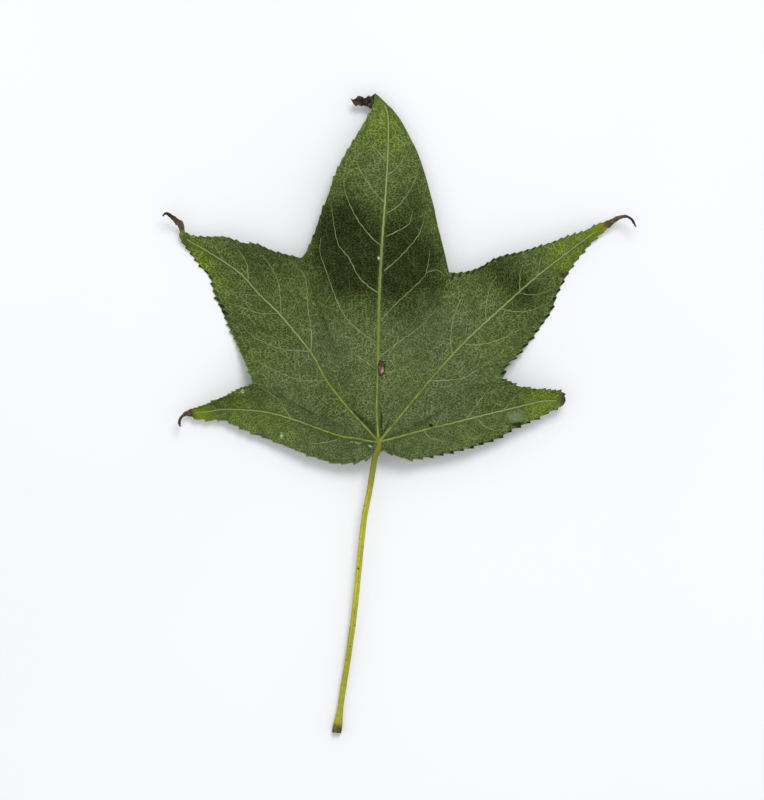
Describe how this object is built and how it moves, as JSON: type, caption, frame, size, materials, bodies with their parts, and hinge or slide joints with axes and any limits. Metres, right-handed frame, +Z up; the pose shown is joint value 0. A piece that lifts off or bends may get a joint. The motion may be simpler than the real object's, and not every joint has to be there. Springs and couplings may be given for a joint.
{
  "type": "sweetgum leaf",
  "caption": "Green sweetgum leaf lying face up: star-shaped toothed blade with raised veins, dried curled lobe tips and a long thin stalk.",
  "frame": {"origin": "on the surface that the leaf lies on, at the centre of its box in plan", "axes": "+X across the leaf to the right as seen from above with the top lobe up, +Y from the stalk to the top lobe's tip, +Z up, away from the surface"},
  "size_m": [0.1506, 0.2032, 0.0082],
  "materials": {
    "leaf": "satin"
  },
  "bodies": {
    "root": {"leaf": "leaf"}
  },
  "joints": []
}
